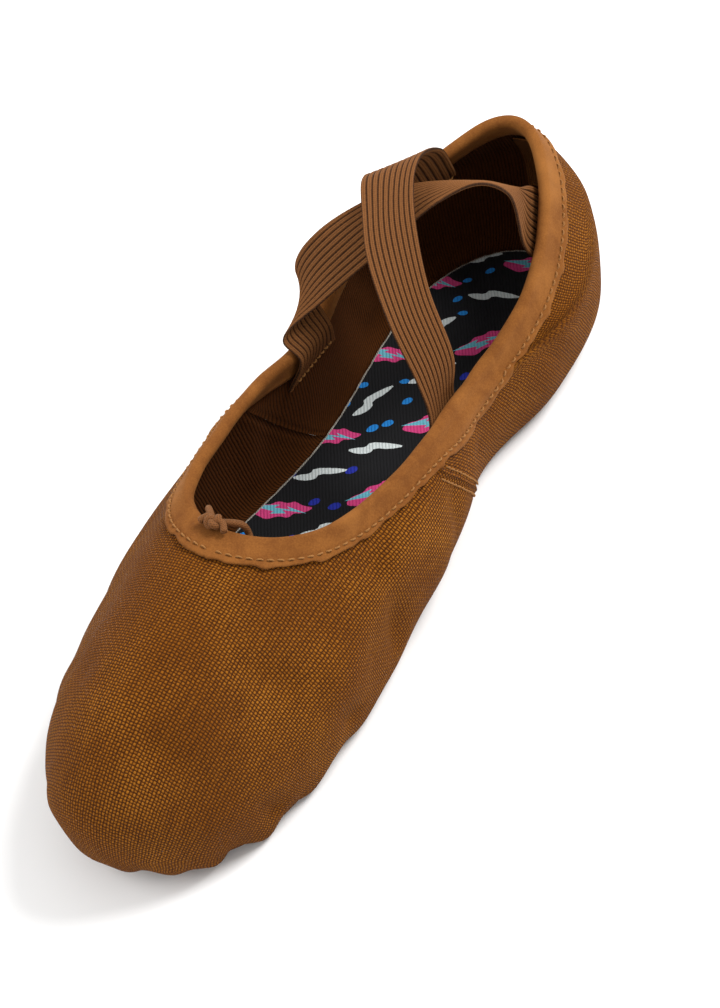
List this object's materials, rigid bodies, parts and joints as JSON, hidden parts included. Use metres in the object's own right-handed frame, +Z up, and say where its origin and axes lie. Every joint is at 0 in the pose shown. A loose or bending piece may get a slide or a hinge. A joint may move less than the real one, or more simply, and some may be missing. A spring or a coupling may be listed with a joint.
{
  "type": "ballet slipper",
  "caption": "Split-sole canvas ballet slipper with crossed elastic straps, a drawstring topline and a printed sock liner.",
  "frame": {"origin": "on the floor, under the middle of the slipper's length", "axes": "+Z up, +Y from the toe to the heel, +X to the side of the strap that lies on top at the front"},
  "size_m": [0.0754, 0.2454, 0.076],
  "materials": {
    "canvas": "plain-weave cotton canvas, dyed tan brown",
    "jersey": "fine rib knit cotton jersey, dark brown",
    "sole_suede": "split suede, napped",
    "binding_suede": "microfibre suede, short nap",
    "fibreboard": "pressed cellulose fibre board",
    "foam": "open-cell latex foam",
    "printed_liner": "black twill with a printed bolt and drop pattern",
    "elastic": "ribbed woven elastic",
    "cord": "round braided elastic cord",
    "thread": "twisted polyester sewing thread"
  },
  "bodies": {
    "forefoot": {"vamp_outer": "canvas", "vamp_lining": "jersey", "front_sole": "sole_suede", "forefoot_board": "fibreboard", "forefoot_pad": "foam", "arch_panel": "canvas", "sock_liner": "printed_liner", "binding": "binding_suede", "drawstring": "cord", "topline_thread": "thread"},
    "heel": {"quarter_outer_right": "canvas", "quarter_outer_left": "canvas", "quarter_lining_right": "jersey", "quarter_lining_left": "jersey", "heel_sole": "sole_suede", "heel_board": "fibreboard", "heel_pad": "foam", "heel_tape": "binding_suede", "heel_seam_thread": "thread", "side_seam_thread_front_right": "thread", "side_seam_thread_back_right": "thread", "side_seam_thread_front_left": "thread", "side_seam_thread_back_left": "thread", "strap_tack_front_right": "thread", "strap_tack_front_left": "thread", "strap_tack_back_left": "thread", "strap_tack_back_right": "thread"},
    "over_strap": {"strap_over": "elastic"},
    "under_strap": {"strap_under": "elastic"},
    "cord_end": {"drawstring_knot": "cord"}
  },
  "joints": [
    {"name": "sole_flex", "type": "hinge", "parent": "forefoot", "child": "heel", "pos_m": [0, -0.011, 0.0035], "axis": [1, 0, 0], "range_deg": [0, 30], "stiffness_Nm_per_rad": 0.02, "deforming": ["vamp_outer", "vamp_lining", "quarter_outer_right", "quarter_outer_left", "quarter_lining_right", "quarter_lining_left", "arch_panel", "sock_liner", "binding", "drawstring", "topline_thread"]},
    {"name": "strap_over_stretch", "type": "slide", "parent": "heel", "child": "over_strap", "axis": [0, 0, 1], "range_m": [0, 0.018], "stiffness_N_per_m": 60, "deforming": ["strap_over"]},
    {"name": "strap_under_stretch", "type": "slide", "parent": "heel", "child": "under_strap", "axis": [0, 0, 1], "range_m": [0, 0.018], "stiffness_N_per_m": 60, "deforming": ["strap_under"]},
    {"name": "drawstring_pull", "type": "slide", "parent": "forefoot", "child": "cord_end", "axis": [0, 0, 1], "range_m": [0, 0.012], "stiffness_N_per_m": 6, "deforming": ["drawstring_knot"]}
  ],
  "couplings": [
    {"joint": "strap_under_stretch", "follows": "strap_over_stretch", "ratio": 1}
  ]
}
